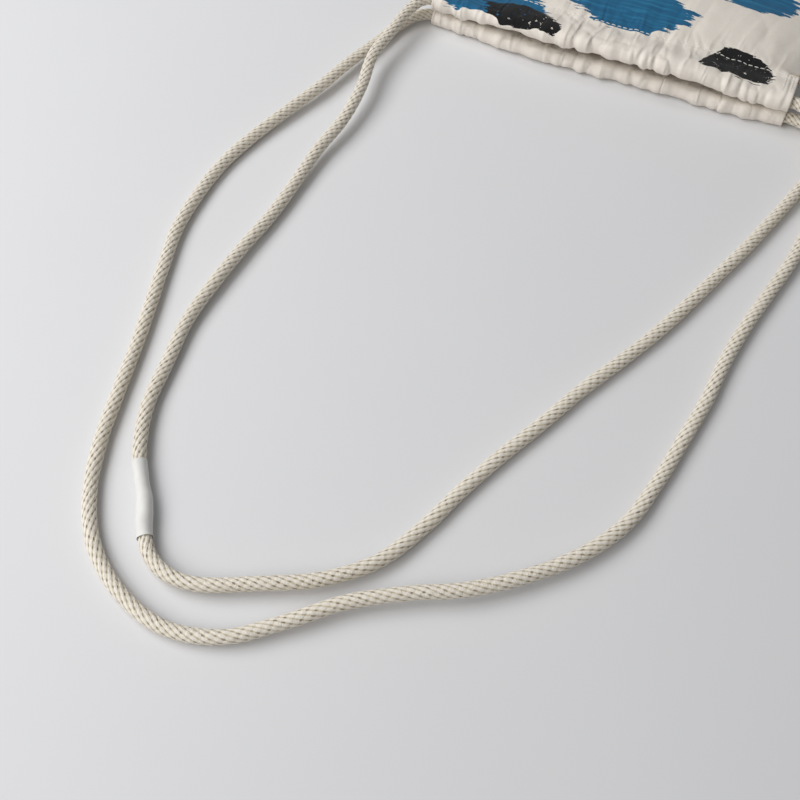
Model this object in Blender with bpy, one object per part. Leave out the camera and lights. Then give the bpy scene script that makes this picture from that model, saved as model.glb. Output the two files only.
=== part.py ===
"""Drawstring pouch of cotton canvas, lying on its back panel, with two loops of round cord.

Metres, +Z up. The pouch is laid out in the mouth's frame: X runs along the mouth, Y from the
mouth's fold line (Y = 0) to the bottom seam, Z = 0 is the surface it lies on. The parent empty
then moves everything so that the origin is under the middle of the pouch.
"""
import math

import bmesh
import bpy
import numpy as np
from mathutils import Vector

# cloth and cord
CLOTH = 0.0009
LAYER_GAP = 0.0004
CORD_D = 0.007
CORD_CLEARANCE = 0.0004

# pouch, as it lies gathered on its cords
MOUTH_WIDTH = 0.234
BODY_WIDTH = 0.272
BODY_LENGTH = 0.300
SHOULDER_LENGTH = 0.110
CORNER_RADIUS = 0.014
CASING_DEPTH = 0.028
HEM_DEPTH = 0.0312
SLIT_LENGTH = 0.036
SEAM_ALLOWANCE = 0.007
SEAM_LIFT = 0.0036
DOME_HEIGHT = 0.0195
MOUTH_LIFT = 0.0042
MOUTH_BOW = 0.0052
SEAM_DROP = 0.0008

# gathers
PUCKERS = 15
PUCKER_HEIGHT = 0.0021
PUCKER_TOP = 0.0012
PUCKER_UNDER = 0.0004
END_FLARE = 0.0010
SEAM_PUCKER = 0.0011
SOFT_FOLD = 0.0013

# stitching
THREAD_D = 0.0005
THREAD_GAP = 0.0004
HEM_ROW_INSET = 0.0028
HEM_ROW_PITCH = 0.0046
HEM_ROW_START = 0.0055
HEM_ROW_END = 0.0255

# joining sleeve
SLEEVE_LENGTH = 0.0415
SLEEVE_WALL = 0.0004
SLEEVE_CLEARANCE = 0.00012
END_GAP = 0.0006

# cords: a point every three diameters, closer together where they bend
POINT_SPACING = 3.0
POINT_SAG = 0.00025

# what follows from the sizes above
PITCH = CLOTH + LAYER_GAP
TUNNEL_R = CORD_D / 2 + CORD_CLEARANCE + CLOTH / 2
BACK_CORD_Z = CLOTH / 2 + TUNNEL_R
BACK_TOP = BACK_CORD_Z + TUNNEL_R + CLOTH / 2 + PUCKER_TOP
FRONT_CORD_Z = BACK_TOP + LAYER_GAP + CLOTH / 2 + PUCKER_UNDER + TUNNEL_R
SEAM_Z = CLOTH / 2 + 1.5 * PITCH
CASING_COLUMNS = 4 * PUCKERS + 1
LATE_SHARE = 0.84

# Route of the front cord's free run, from the sleeve up the left side to the front casing
FRONT_LEFT_ROUTE = [
    (-0.1013, -0.3803, 0.0046),
    (-0.1165, -0.3606, 0.0046),
    (-0.1278, -0.3353, 0.0041),
    (-0.1329, -0.3078, 0.0038),
    (-0.1371, -0.2802, 0.0043),
    (-0.1366, -0.2524, 0.0049),
    (-0.1346, -0.2245, 0.0049),
    (-0.1318, -0.1966, 0.0045),
    (-0.1309, -0.1687, 0.0050),
    (-0.1302, -0.1408, 0.0066),
    (-0.1268, -0.1131, 0.0085),
    (-0.1278, -0.0852, 0.0110),
    (-0.1330, -0.0580, 0.0126),
    (-0.1315, -0.0308, 0.0136),
    (-0.1298, -0.0120, 0.0147),
    (-0.1258, -0.0005, 0.0160),
]
# and from the front casing's right end around the inner run, back to the sleeve
FRONT_RIGHT_ROUTE = [
    (0.1275, 0.0016, 0.0158),
    (0.1370, -0.0080, 0.0132),
    (0.1433, -0.0220, 0.0096),
    (0.1430, -0.0370, 0.0066),
    (0.1384, -0.0525, 0.0046),
    (0.1303, -0.0793, 0.0037),
    (0.1219, -0.1059, 0.0036),
    (0.1125, -0.1323, 0.0036),
    (0.1030, -0.1586, 0.0036),
    (0.0929, -0.1847, 0.0036),
    (0.0810, -0.2101, 0.0036),
    (0.0685, -0.2351, 0.0036),
    (0.0575, -0.2608, 0.0036),
    (0.0458, -0.2862, 0.0036),
    (0.0351, -0.3121, 0.0036),
    (0.0257, -0.3384, 0.0037),
    (0.0136, -0.3634, 0.0049),
    (-0.0064, -0.3828, 0.0062),
    (-0.0309, -0.3961, 0.0063),
    (-0.0562, -0.4075, 0.0052),
    (-0.0700, -0.4090, 0.0047),
    (-0.0830, -0.4044, 0.0046),
    (-0.0925, -0.3945, 0.0046),
    (-0.1013, -0.3803, 0.0046),
]
# Route of the back cord's free run, from the back casing's left end to its right end
BACK_ROUTE = [
    (-0.1280, -0.0015, 0.0047),
    (-0.1345, -0.0140, 0.0045),
    (-0.1402, -0.0368, 0.0051),
    (-0.1475, -0.0637, 0.0064),
    (-0.1544, -0.0909, 0.0061),
    (-0.1634, -0.1172, 0.0051),
    (-0.1720, -0.1438, 0.0041),
    (-0.1778, -0.1711, 0.0036),
    (-0.1786, -0.1990, 0.0036),
    (-0.1760, -0.2268, 0.0036),
    (-0.1687, -0.2537, 0.0036),
    (-0.1606, -0.2806, 0.0036),
    (-0.1529, -0.3075, 0.0036),
    (-0.1460, -0.3346, 0.0036),
    (-0.1385, -0.3615, 0.0036),
    (-0.1276, -0.3873, 0.0036),
    (-0.1110, -0.4095, 0.0036),
    (-0.0872, -0.4246, 0.0036),
    (-0.0601, -0.4308, 0.0036),
    (-0.0337, -0.4240, 0.0047),
    (-0.0116, -0.4070, 0.0058),
    (0.0084, -0.3885, 0.0067),
    (0.0321, -0.3731, 0.0073),
    (0.0567, -0.3598, 0.0072),
    (0.0786, -0.3424, 0.0066),
    (0.0977, -0.3220, 0.0056),
    (0.1117, -0.2980, 0.0045),
    (0.1186, -0.2709, 0.0036),
    (0.1233, -0.2433, 0.0036),
    (0.1278, -0.2157, 0.0036),
    (0.1303, -0.1878, 0.0036),
    (0.1348, -0.1602, 0.0036),
    (0.1409, -0.1329, 0.0037),
    (0.1468, -0.1056, 0.0040),
    (0.1500, -0.0781, 0.0042),
    (0.1535, -0.0500, 0.0042),
    (0.1545, -0.0280, 0.0042),
    (0.1495, -0.0110, 0.0043),
    (0.1400, -0.0015, 0.0045),
    (0.1285, 0.0030, 0.0048),
]


def smooth(a, b, x):
    """0 below a, 1 above b, an S-curve between."""
    t = np.clip((x - a) / (b - a), 0.0, 1.0)
    return t * t * (3 - 2 * t)


def clear_scene():
    for obj in list(bpy.data.objects):
        bpy.data.objects.remove(obj, do_unlink=True)


def material(name, rgb, roughness):
    mat = bpy.data.materials.new(name)
    mat.use_nodes = True
    shader = mat.node_tree.nodes["Principled BSDF"]
    shader.inputs["Base Color"].default_value = (*rgb, 1.0)
    shader.inputs["Roughness"].default_value = roughness
    shader.inputs["Metallic"].default_value = 0.0
    return mat


def pucker_phase(u):
    """Phase of the gathers at u (0 left end, 1 right end): PUCKERS waves of uneven width."""
    wobble = 0.030 * np.sin(2 * np.pi * 1.7 * u + 0.4) + 0.013 * np.sin(2 * np.pi * 4.3 * u + 2.0)
    ends = np.sin(np.pi * u)
    return 2 * np.pi * PUCKERS * (u + wobble * ends)


def casing_stations():
    """u of the casing's columns: four to each gather, at its valley, flanks and crest."""
    fine = np.linspace(0.0, 1.0, 4001)
    return np.interp(np.arange(CASING_COLUMNS) * np.pi / 2, pucker_phase(fine), fine)


def pucker(u, seed):
    """Height of the gathers from 0 to 1. They flatten out at the stitched ends."""
    size = 0.74 + 0.18 * np.sin(2 * np.pi * 3.3 * u + seed) + 0.08 * np.sin(2 * np.pi * 7.1 * u + 2 * seed)
    ends = smooth(0.0, 0.055, u) * smooth(0.0, 0.055, 1 - u)
    return size * ends * (0.5 - 0.5 * np.cos(pucker_phase(u)))


def fold_line(x):
    """Y of the mouth where the casing touches the cord: a shallow bow with a slow wave."""
    v = 2 * x / MOUTH_WIDTH
    return -MOUTH_BOW * (1 - v**2) + 0.0013 * np.sin(3.9 * v + 0.6) * (1 - v**2)


def front_cord_z(x):
    """The front cord rides on the back casing and is lifted where the mouth stands open."""
    v = np.abs(2 * x / MOUTH_WIDTH)
    return FRONT_CORD_Z + MOUTH_LIFT * (1 - smooth(0.46, 0.86, v))


def casing_grid(front):
    """Rows from the hem's edge around the cord to the casing's seam; one column per station.

    The outer layer of the front casing faces up. The back casing is the same the other way up:
    its outer layer lies on the surface and its turned-in hem faces up. The layer that faces up has
    one more row, where it bulges between the cord and the seam.
    """
    u = casing_stations()
    x = MOUTH_WIDTH * (u - 0.5)
    seed = 1.0 if front else 2.6
    g = pucker(u, seed)
    y_fold = fold_line(x)
    y_cord = y_fold + TUNNEL_R
    wave = SEAM_PUCKER * g
    flare = END_FLARE * (1 - smooth(0.0, 0.05, np.minimum(u, 1 - u)))
    if front:
        z_cord = front_cord_z(x)
        z_seam = z_cord - SEAM_DROP
        z_return = z_seam - PITCH / 2
        z_outer = z_seam + PITCH / 2
        z_near = z_cord - TUNNEL_R - PUCKER_UNDER * g
        z_far = z_cord + TUNNEL_R + PUCKER_TOP * g + flare
        side = 1.0
        near_push = PUCKER_UNDER
        far_push = PUCKER_TOP
    else:
        z_cord = np.full_like(x, BACK_CORD_Z)
        z_return = np.full_like(x, CLOTH / 2 + PITCH)
        z_outer = np.full_like(x, CLOTH / 2)
        z_near = z_cord + TUNNEL_R + PUCKER_TOP * g + flare
        z_far = z_cord - TUNNEL_R
        side = -1.0
        near_push = PUCKER_TOP
        far_push = 0.0
    y_mid = 0.5 * CASING_DEPTH
    y_late = LATE_SHARE * CASING_DEPTH
    rows = [
        (y_fold + HEM_DEPTH, z_return + wave),
        (y_fold + y_late, z_return + wave),
    ]
    if not front:
        rows.append((y_fold + y_mid, 0.42 * z_return + 0.58 * z_near + 0.5 * wave))
    rows.append((y_cord, z_near))
    for degrees in (45, 90, 135):
        a = math.radians(degrees)
        push = PUCKER_HEIGHT * math.sin(a)
        push += near_push * max(0.0, math.cos(a)) + far_push * max(0.0, -math.cos(a))
        reach = TUNNEL_R + push * g + flare * max(math.sin(a), far_push / PUCKER_TOP)
        rows.append((y_cord - reach * math.sin(a), z_cord - side * reach * math.cos(a)))
    if not front:
        floor_row = rows[-1]
        rows[-1] = (floor_row[0], np.maximum(floor_row[1], CLOTH / 2))
    rows.append((y_cord, z_far))
    if front:
        rows.append((y_fold + y_mid, 0.42 * z_outer + 0.58 * z_far + 0.5 * wave))
    rows += [
        (y_fold + y_late, z_outer + wave),
        (y_fold + CASING_DEPTH, z_outer + wave),
    ]
    return np.array([np.stack([x, y + 0 * x, z + 0 * x], axis=-1) for y, z in rows])


def half_width(y):
    """Half the pouch's width at y: gathered at the mouth, full below, rounded at the corners."""
    w = MOUTH_WIDTH / 2 + (BODY_WIDTH - MOUTH_WIDTH) / 2 * smooth(CASING_DEPTH, SHOULDER_LENGTH, y)
    into = np.clip(y - (BODY_LENGTH - CORNER_RADIUS), 0.0, CORNER_RADIUS)
    return w - CORNER_RADIUS + np.sqrt(CORNER_RADIUS**2 - into**2)


def side_seam_z(y):
    """Height of the side seam: it is lifted a little where it starts, below the mouth's slit."""
    return SEAM_Z + SEAM_LIFT * (1 - smooth(SLIT_LENGTH, SHOULDER_LENGTH, y))


def body_rows():
    """Y of the body's rows, from the end of the side slit to the bottom seam."""
    straight = np.array([0.0, 0.07, 0.18, 0.36, 0.58, 0.80]) * (BODY_LENGTH - CORNER_RADIUS - SLIT_LENGTH)
    corner = BODY_LENGTH - CORNER_RADIUS + CORNER_RADIUS * np.array([0.0, 0.6, 0.9, 1.0])
    return np.concatenate([SLIT_LENGTH + straight, corner])


def body_grid(front):
    """The panel below the casing, at every second of the casing's columns."""
    u = casing_stations()[::2]
    s = 2 * u - 1
    g = pucker(u, 1.0 if front else 2.6)
    centre = FRONT_CORD_Z + MOUTH_LIFT - SEAM_DROP + PITCH / 2
    top_y = 0.4 * BODY_LENGTH
    rows = []
    for y in body_rows():
        w = half_width(y)
        x = w * s
        fade = math.exp(-(y - CASING_DEPTH) / 0.045)
        wave = SEAM_PUCKER * g * fade
        late = float(smooth(0.8 * SLIT_LENGTH, SHOULDER_LENGTH, y))
        bow = fold_line(0.5 * MOUTH_WIDTH * s) * math.exp(-(y - CASING_DEPTH) / 0.05)
        zs = side_seam_z(y)
        if front:
            power = 7.0 - 4.4 * late
            height = centre + (DOME_HEIGHT - centre) * late
            fall = 1 - (max(0.0, y - top_y) / (BODY_LENGTH - top_y)) ** 2.4
            edge = zs + 1.5 * PITCH
            soft = SOFT_FOLD * late * fall * (1 - s**2)
            soft = soft * (np.sin(4.6 * s + 9.0 * y + 0.7) * 0.7 + np.sin(9.1 * s - 13.0 * y) * 0.45)
            z = edge + (height - edge) * fall * (1 - np.abs(s) ** power) + soft
            z = z + wave * (1 - np.abs(s) ** 12)
        else:
            edge = zs - 1.5 * PITCH
            z = CLOTH / 2 + (edge - CLOTH / 2) * np.abs(s) ** 10 + wave * (1 - np.abs(s) ** 12)
        rows.append(np.stack([x, y + bow * (1 - np.abs(s) ** 12), z], axis=-1))
    return np.array(rows)


def panel(name, front, mat):
    """One panel as a sheet: casing, body and the seam allowances turned in along three sides."""
    casing = casing_grid(front)
    body = body_grid(front)
    bm = bmesh.new()
    rows = [[bm.verts.new(p) for p in row] for row in casing]
    lower = [[bm.verts.new(p) for p in row] for row in body]
    for a, b in zip(rows, rows[1:]):
        for i in range(len(a) - 1):
            bm.faces.new((a[i], a[i + 1], b[i + 1], b[i]))
    last = rows[-1]
    first = lower[0]
    for i in range(len(first) - 1):
        bm.faces.new((last[2 * i], last[2 * i + 1], last[2 * i + 2], first[i + 1], first[i]))
    for a, b in zip(lower, lower[1:]):
        for i in range(len(a) - 1):
            bm.faces.new((a[i], a[i + 1], b[i + 1], b[i]))
    # the turned-in allowance: down the left side, along the bottom and up the right side
    edge = [row[0] for row in lower] + lower[-1][1:-1] + [row[-1] for row in reversed(lower)]
    points = np.array([v.co for v in edge])
    along = np.gradient(points[:, :2], axis=0)
    along /= np.linalg.norm(along, axis=1)[:, None]
    out = np.stack([-along[:, 1], along[:, 0]], axis=-1)
    if (out[0] @ np.array([-1.0, 0.0])) < 0:
        out = -out
    out[0] = (-1.0, 0.0)
    out[-1] = (1.0, 0.0)
    turn = -1.0 if front else 1.0
    curl = PITCH / 2
    previous = edge
    for reach, drop in ((curl, curl), (0.0, PITCH), (-SEAM_ALLOWANCE, PITCH)):
        ring = []
        for point, normal in zip(points, out):
            ring.append(bm.verts.new((*(point[:2] + reach * normal), point[2] + turn * drop)))
        for i in range(len(ring) - 1):
            bm.faces.new((previous[i], previous[i + 1], ring[i + 1], ring[i]))
        previous = ring
    bmesh.ops.recalc_face_normals(bm, faces=bm.faces)
    mesh = bpy.data.meshes.new(name)
    bm.to_mesh(mesh)
    bm.free()
    mesh.shade_smooth()
    mesh.materials.append(mat)
    obj = bpy.data.objects.new(name, mesh)
    bpy.context.collection.objects.link(obj)
    cloth = obj.modifiers.new("cloth", "SOLIDIFY")
    cloth.thickness = CLOTH
    cloth.offset = 0.0
    cloth.use_even_offset = True
    cloth.use_rim = True
    return obj


def on_grid(grid, row, column, lift, up):
    """A point on a grid of points at a fractional row and column, raised along its normal."""
    r = int(min(max(math.floor(row), 0), len(grid) - 2))
    c = int(min(max(math.floor(column), 0), len(grid[0]) - 2))
    fr = row - r
    fc = column - c
    a = grid[r][c]
    b = grid[r][c + 1]
    d = grid[r + 1][c]
    e = grid[r + 1][c + 1]
    point = (1 - fr) * ((1 - fc) * a + fc * b) + fr * ((1 - fc) * d + fc * e)
    across = (1 - fr) * (b - a) + fr * (e - d)
    down = (1 - fc) * (d - a) + fc * (e - b)
    normal = np.cross(across, down)
    normal /= np.linalg.norm(normal)
    if normal[2] * up < 0:
        normal = -normal
    return point + lift * normal


def tube(name, points, diameter, resolution, mat, closed=False):
    """A round solid along points: a poly spline with a bevel and filled ends."""
    curve = bpy.data.curves.new(name, "CURVE")
    curve.dimensions = "3D"
    curve.bevel_depth = diameter / 2
    curve.bevel_resolution = resolution
    curve.use_fill_caps = not closed
    spline = curve.splines.new("POLY")
    spline.points.add(len(points) - 1)
    for knot, point in zip(spline.points, points):
        knot.co = (*point, 1.0)
    spline.use_cyclic_u = closed
    curve.materials.append(mat)
    obj = bpy.data.objects.new(name, curve)
    bpy.context.collection.objects.link(obj)
    return obj


def smooth_curve(route, steps=24):
    """Catmull-Rom curve through the route's points, spaced by the root of their distance."""
    p = np.array(route, dtype=float)
    p = np.vstack([2 * p[0] - p[1], p, 2 * p[-1] - p[-2]])
    curve = []
    for i in range(1, len(p) - 2):
        knots = [0.0]
        for k in range(3):
            knots.append(knots[-1] + math.sqrt(np.linalg.norm(p[i + k] - p[i + k - 1])))
        t0, t1, t2, t3 = knots
        for t in np.linspace(t1, t2, steps, endpoint=False):
            a1 = (t1 - t) / (t1 - t0) * p[i - 1] + (t - t0) / (t1 - t0) * p[i]
            a2 = (t2 - t) / (t2 - t1) * p[i] + (t - t1) / (t2 - t1) * p[i + 1]
            a3 = (t3 - t) / (t3 - t2) * p[i + 1] + (t - t2) / (t3 - t2) * p[i + 2]
            b1 = (t2 - t) / (t2 - t0) * a1 + (t - t0) / (t2 - t0) * a2
            b2 = (t3 - t) / (t3 - t1) * a2 + (t - t1) / (t3 - t1) * a3
            curve.append((t2 - t) / (t2 - t1) * b1 + (t - t1) / (t2 - t1) * b2)
    curve.append(p[-2])
    return np.array(curve)


def casing_route(front, start, stop, count):
    """The cord's centre inside its casing between two x, following the fold line."""
    x = np.linspace(start, stop, count)
    y = fold_line(x) + TUNNEL_R
    z = front_cord_z(x) if front else np.full_like(x, BACK_CORD_Z)
    return [tuple(p) for p in np.stack([x, y, z], axis=-1)]


def sample(curve, distances):
    """Points of a dense curve at distances along it."""
    steps = np.linalg.norm(np.diff(curve, axis=0), axis=1)
    length = np.concatenate([[0.0], np.cumsum(steps)])
    return np.stack([np.interp(distances, length, curve[:, k]) for k in range(3)], axis=-1)


def curve_length(curve):
    return float(np.linalg.norm(np.diff(curve, axis=0), axis=1).sum())


def stations_along(curve, start, stop):
    """Distances along a curve, closer together where it bends: each chord's sag stays small."""
    steps = np.linalg.norm(np.diff(curve, axis=0), axis=1)
    length = np.concatenate([[0.0], np.cumsum(steps)])
    reach = CORD_D
    distances = [start]
    while distances[-1] < stop:
        here = distances[-1] + reach
        a, b, c = sample(curve, np.clip([here - reach, here, here + reach], 0.0, length[-1]))
        bend = np.linalg.norm(a - 2 * b + c) / reach**2
        step = math.sqrt(8 * POINT_SAG / max(bend, 1e-6))
        distances.append(distances[-1] + min(max(step, CORD_D), POINT_SPACING * CORD_D))
    distances = np.array(distances)
    return start + (distances - start) * (stop - start) / (distances[-1] - start)


def front_cord_curve():
    inside = casing_route(True, -0.5 * MOUTH_WIDTH - 0.002, 0.5 * MOUTH_WIDTH + 0.002, 15)
    return smooth_curve(FRONT_LEFT_ROUTE + inside + FRONT_RIGHT_ROUTE)


def back_cord_curve():
    """The back cord's loop. It starts and ends in the middle of the back casing."""
    left = casing_route(False, 0.0, -0.5 * MOUTH_WIDTH - 0.002, 8)
    right = casing_route(False, 0.5 * MOUTH_WIDTH + 0.002, 0.0, 8)
    return smooth_curve(left + BACK_ROUTE + right)


def sleeve(name, points, mat):
    """A thin round sleeve along points, open at both ends."""
    sides = 10
    r_in = (CORD_D / 2 + SLEEVE_CLEARANCE) / math.cos(math.pi / sides)
    r_out = r_in + SLEEVE_WALL
    bm = bmesh.new()
    rings = []
    for i, point in enumerate(points):
        ahead = points[min(i + 1, len(points) - 1)]
        behind = points[max(i - 1, 0)]
        axis = Vector(ahead - behind).normalized()
        across = axis.cross(Vector((0, 0, 1))).normalized()
        upward = across.cross(axis)
        pair = []
        for r in (r_out, r_in):
            ring = []
            for k in range(sides):
                a = 2 * math.pi * k / sides
                offset = across * (r * math.cos(a)) + upward * (r * math.sin(a))
                ring.append(bm.verts.new(Vector(point) + offset))
            pair.append(ring)
        rings.append(pair)
    for k in range(sides):
        n = (k + 1) % sides
        for (outer_a, inner_a), (outer_b, inner_b) in zip(rings, rings[1:]):
            bm.faces.new((outer_a[k], outer_a[n], outer_b[n], outer_b[k]))
            bm.faces.new((inner_a[n], inner_a[k], inner_b[k], inner_b[n]))
        for outer, inner in (rings[0], rings[-1]):
            bm.faces.new((outer[k], outer[n], inner[n], inner[k]))
    bmesh.ops.recalc_face_normals(bm, faces=bm.faces)
    mesh = bpy.data.meshes.new(name)
    bm.to_mesh(mesh)
    bm.free()
    mesh.shade_smooth()
    mesh.set_sharp_from_angle(angle=math.radians(40))
    mesh.materials.append(mat)
    obj = bpy.data.objects.new(name, mesh)
    bpy.context.collection.objects.link(obj)
    return obj


def stitch_row(name, grid, front, mat):
    """The thread along a casing's seam, on the layer that faces up."""
    lift = CLOTH / 2 + THREAD_GAP + THREAD_D / 2
    if front:
        row = len(grid) - 1.0
    else:
        row = (HEM_DEPTH - CASING_DEPTH) / (HEM_DEPTH - LATE_SHARE * CASING_DEPTH)
    end_inset = 1.0
    columns = np.concatenate([[end_inset], np.arange(2, len(grid[0]) - 2, 2), [len(grid[0]) - 1 - end_inset]])
    points = [on_grid(grid, row, c, lift, 1.0) for c in columns]
    return tube(name, points, THREAD_D, 0, mat)


def hem_rows(name, grid, front, right, mat):
    """Two parallel rows across a casing's end, joined at one side as one thread."""
    lift = CLOTH / 2 + THREAD_GAP + THREAD_D / 2
    x = grid[0][:, 0]
    if front:
        layer = np.arange(6, len(grid) - 0.9, 1.0)
    else:
        layer = np.arange(3, -0.1, -1.0)
    depth = np.array([grid[int(r)][0][1] - fold_line(x[0]) for r in layer])
    ys = np.linspace(HEM_ROW_START, HEM_ROW_END, 6)
    rows_at = np.interp(ys, depth, layer)
    points = []
    for inset, order in ((HEM_ROW_INSET, 1), (HEM_ROW_INSET + HEM_ROW_PITCH, -1)):
        at = MOUTH_WIDTH / 2 - inset
        column = float(np.interp(at if right else -at, x, np.arange(len(x))))
        for row in rows_at[::order]:
            points.append(on_grid(grid, row, column, lift, 1.0))
    return tube(name, points, THREAD_D, 0, mat)


clear_scene()

canvas = material("canvas", (0.78, 0.73, 0.65), 0.9)
cord_cotton = material("cord_cotton", (0.75, 0.69, 0.59), 0.85)
sleeve_plastic = material("sleeve_plastic", (0.80, 0.79, 0.76), 0.45)
thread_white = material("thread_white", (0.82, 0.80, 0.76), 0.7)

front_panel = panel("front_panel", True, canvas)
back_panel = panel("back_panel", False, canvas)

front_grid = casing_grid(True)
back_grid = casing_grid(False)
pieces = [front_panel, back_panel]
pieces.append(stitch_row("front_casing_stitching", front_grid, True, thread_white))
pieces.append(stitch_row("back_casing_stitching", back_grid, False, thread_white))
pieces.append(hem_rows("front_left_hem_stitching", front_grid, True, False, thread_white))
pieces.append(hem_rows("front_right_hem_stitching", front_grid, True, True, thread_white))
pieces.append(hem_rows("back_left_hem_stitching", back_grid, False, False, thread_white))
pieces.append(hem_rows("back_right_hem_stitching", back_grid, False, True, thread_white))

# the front cord: its two ends meet in the joining sleeve
front_line = front_cord_curve()
front_total = curve_length(front_line)
half = SLEEVE_LENGTH / 2
near = np.array([END_GAP / 2, half / 3, 2 * half / 3, half])
middle = stations_along(front_line, half, front_total - half)[1:-1]
stations = np.concatenate([near, middle, front_total - near[::-1]])
pieces.append(tube("front_cord", sample(front_line, stations), CORD_D, 2, cord_cotton))
sleeve_points = np.vstack(
    [
        sample(front_line, front_total - near[:0:-1]),
        front_line[:1],
        sample(front_line, near[1:]),
    ]
)
pieces.append(sleeve("join_sleeve", sleeve_points, sleeve_plastic))

# the back cord: a closed loop
back_line = back_cord_curve()
back_total = curve_length(back_line)
back_stations = stations_along(back_line, 0.0, back_total)[:-1]
pieces.append(tube("back_cord", sample(back_line, back_stations), CORD_D, 2, cord_cotton, closed=True))

# the origin lies under the middle of the pouch itself
crest = front_grid[:, :, 1].min() - CLOTH / 2
crest = min(crest, back_grid[:, :, 1].min() - CLOTH / 2)
far_edge = BODY_LENGTH + PITCH / 2 + CLOTH / 2
pochette = bpy.data.objects.new("pochette", None)
bpy.context.collection.objects.link(pochette)
pochette.location = (0.0, -(crest + far_edge) / 2, 0.0)
for piece in pieces:
    piece.parent = pochette
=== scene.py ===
import math

import bpy
import numpy as np
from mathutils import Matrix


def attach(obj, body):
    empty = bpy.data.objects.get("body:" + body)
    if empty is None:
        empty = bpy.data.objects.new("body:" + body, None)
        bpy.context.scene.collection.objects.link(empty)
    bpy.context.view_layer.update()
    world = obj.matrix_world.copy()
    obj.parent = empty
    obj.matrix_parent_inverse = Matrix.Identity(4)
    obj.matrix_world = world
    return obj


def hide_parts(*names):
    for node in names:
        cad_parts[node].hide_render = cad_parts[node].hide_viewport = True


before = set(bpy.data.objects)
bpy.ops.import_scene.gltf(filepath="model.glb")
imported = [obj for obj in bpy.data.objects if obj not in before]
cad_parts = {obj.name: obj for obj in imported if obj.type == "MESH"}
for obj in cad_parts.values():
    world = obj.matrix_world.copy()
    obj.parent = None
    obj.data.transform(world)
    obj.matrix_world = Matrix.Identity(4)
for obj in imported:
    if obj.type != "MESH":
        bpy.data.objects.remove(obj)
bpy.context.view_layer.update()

# Drawstring pouch of natural cotton canvas on two loops of round braided cotton cord.
# Metres, +Z up. Shapes are worked out in the mouth's frame: X along the mouth, Y from its fold line
# to the bottom seam, Z = 0 the surface it lies on. MOUTH_Y moves them to the row frame.
MOUTH_Y = -0.146748
TO_ROW_FRAME = np.array([0.0, MOUTH_Y, 0.0])

# sizes that the model is built from
CLOTH = 0.0009
LAYER_GAP = 0.0004
CORD_D = 0.007
MOUTH_WIDTH = 0.234
BODY_WIDTH = 0.272
BODY_LENGTH = 0.300
SHOULDER_LENGTH = 0.110
CORNER_RADIUS = 0.014
CASING_DEPTH = 0.028
HEM_DEPTH = 0.0312
SLIT_LENGTH = 0.036
SEAM_ALLOWANCE = 0.007
SEAM_LIFT = 0.0036
DOME_HEIGHT = 0.0195
MOUTH_LIFT = 0.0042
MOUTH_BOW = 0.0052
MOUTH_WAVE = 0.0013
SEAM_DROP = 0.0008
SEAM_GROOVE = 0.00035
PUCKERS = 15
PUCKER_HEIGHT = 0.0026
PUCKER_TOP = 0.0012
PUCKER_UNDER = 0.0004
END_FLARE = 0.0010
SEAM_PUCKER = 0.0012
SOFT_FOLD = 0.0016
LONG_FOLD = 0.0007
SMALL_FOLD = 0.0005
BROAD_FOLD = 0.0008
CASING_CREASE = 0.0013
FOLD_SLACK = 0.0005
CREASE_DEPTH = 0.00012
SLEEVE_LENGTH = 0.0415
SLEEVE_BORE = 0.00322
SLEEVE_WALL = 0.0004
FLAT_WIDTH = 0.290
HALF_MOUTH = MOUTH_WIDTH / 2
PITCH = CLOTH + LAYER_GAP
TUNNEL_R = CORD_D / 2 + 0.0004 + CLOTH / 2
BACK_CORD_Z = CLOTH / 2 + TUNNEL_R
BACK_TOP = BACK_CORD_Z + TUNNEL_R + CLOTH / 2 + PUCKER_TOP
FRONT_CORD_Z = BACK_TOP + LAYER_GAP + CLOTH / 2 + PUCKER_UNDER + TUNNEL_R
SEAM_Z = CLOTH / 2 + 1.5 * PITCH

# solid braid: twelve columns of stitches round the cord, each a third of a stitch behind its neighbour
BRAID_COLUMNS = 12
BRAID_STITCH = 0.0050
BRAID_RELIEF = 0.00042
# the grains' crowns stand a little out of the nominal radius; a grain slides this many columns per strand
BRAID_CROWN = 0.00010
BRAID_SLIDE = 1.21
CORD_RINGS = 2060
CORD_SIDES = 48
LINE_STEPS = 24

# gathers: where their pattern starts on each panel, and the length over which they fade down the panel
FRONT_GATHERS = 1.0
BACK_GATHERS = 2.6
GATHER_FADE = 0.045
# how far the pleats lean in each key row, from the hem's edge round the cord to below the seam
PLEAT_LEANS = (0.9, 0.9, 0.6, 0.3, 0.0, 0.0, 0.0, -0.3, -0.7, -1.0, -1.1)

# grid rows between one key row of a panel and the next, and where the fold and the seam come to lie
ROW_STEPS = [6, 6, 7, 6, 5, 5, 5, 7, 7, 4, 6, 1]
FOLD_ROW = sum(ROW_STEPS[:5])
SEAM_ROW = sum(ROW_STEPS[:10])

# stitches: pitch and length of each, and the distances of the double rows from the casing's end
SEAM_STITCH = (0.0037, 0.0031)
HEM_STITCH = (0.0030, 0.0024)
HEM_INSETS = (0.0028, 0.0074)
THREAD_R = 0.00030

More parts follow.
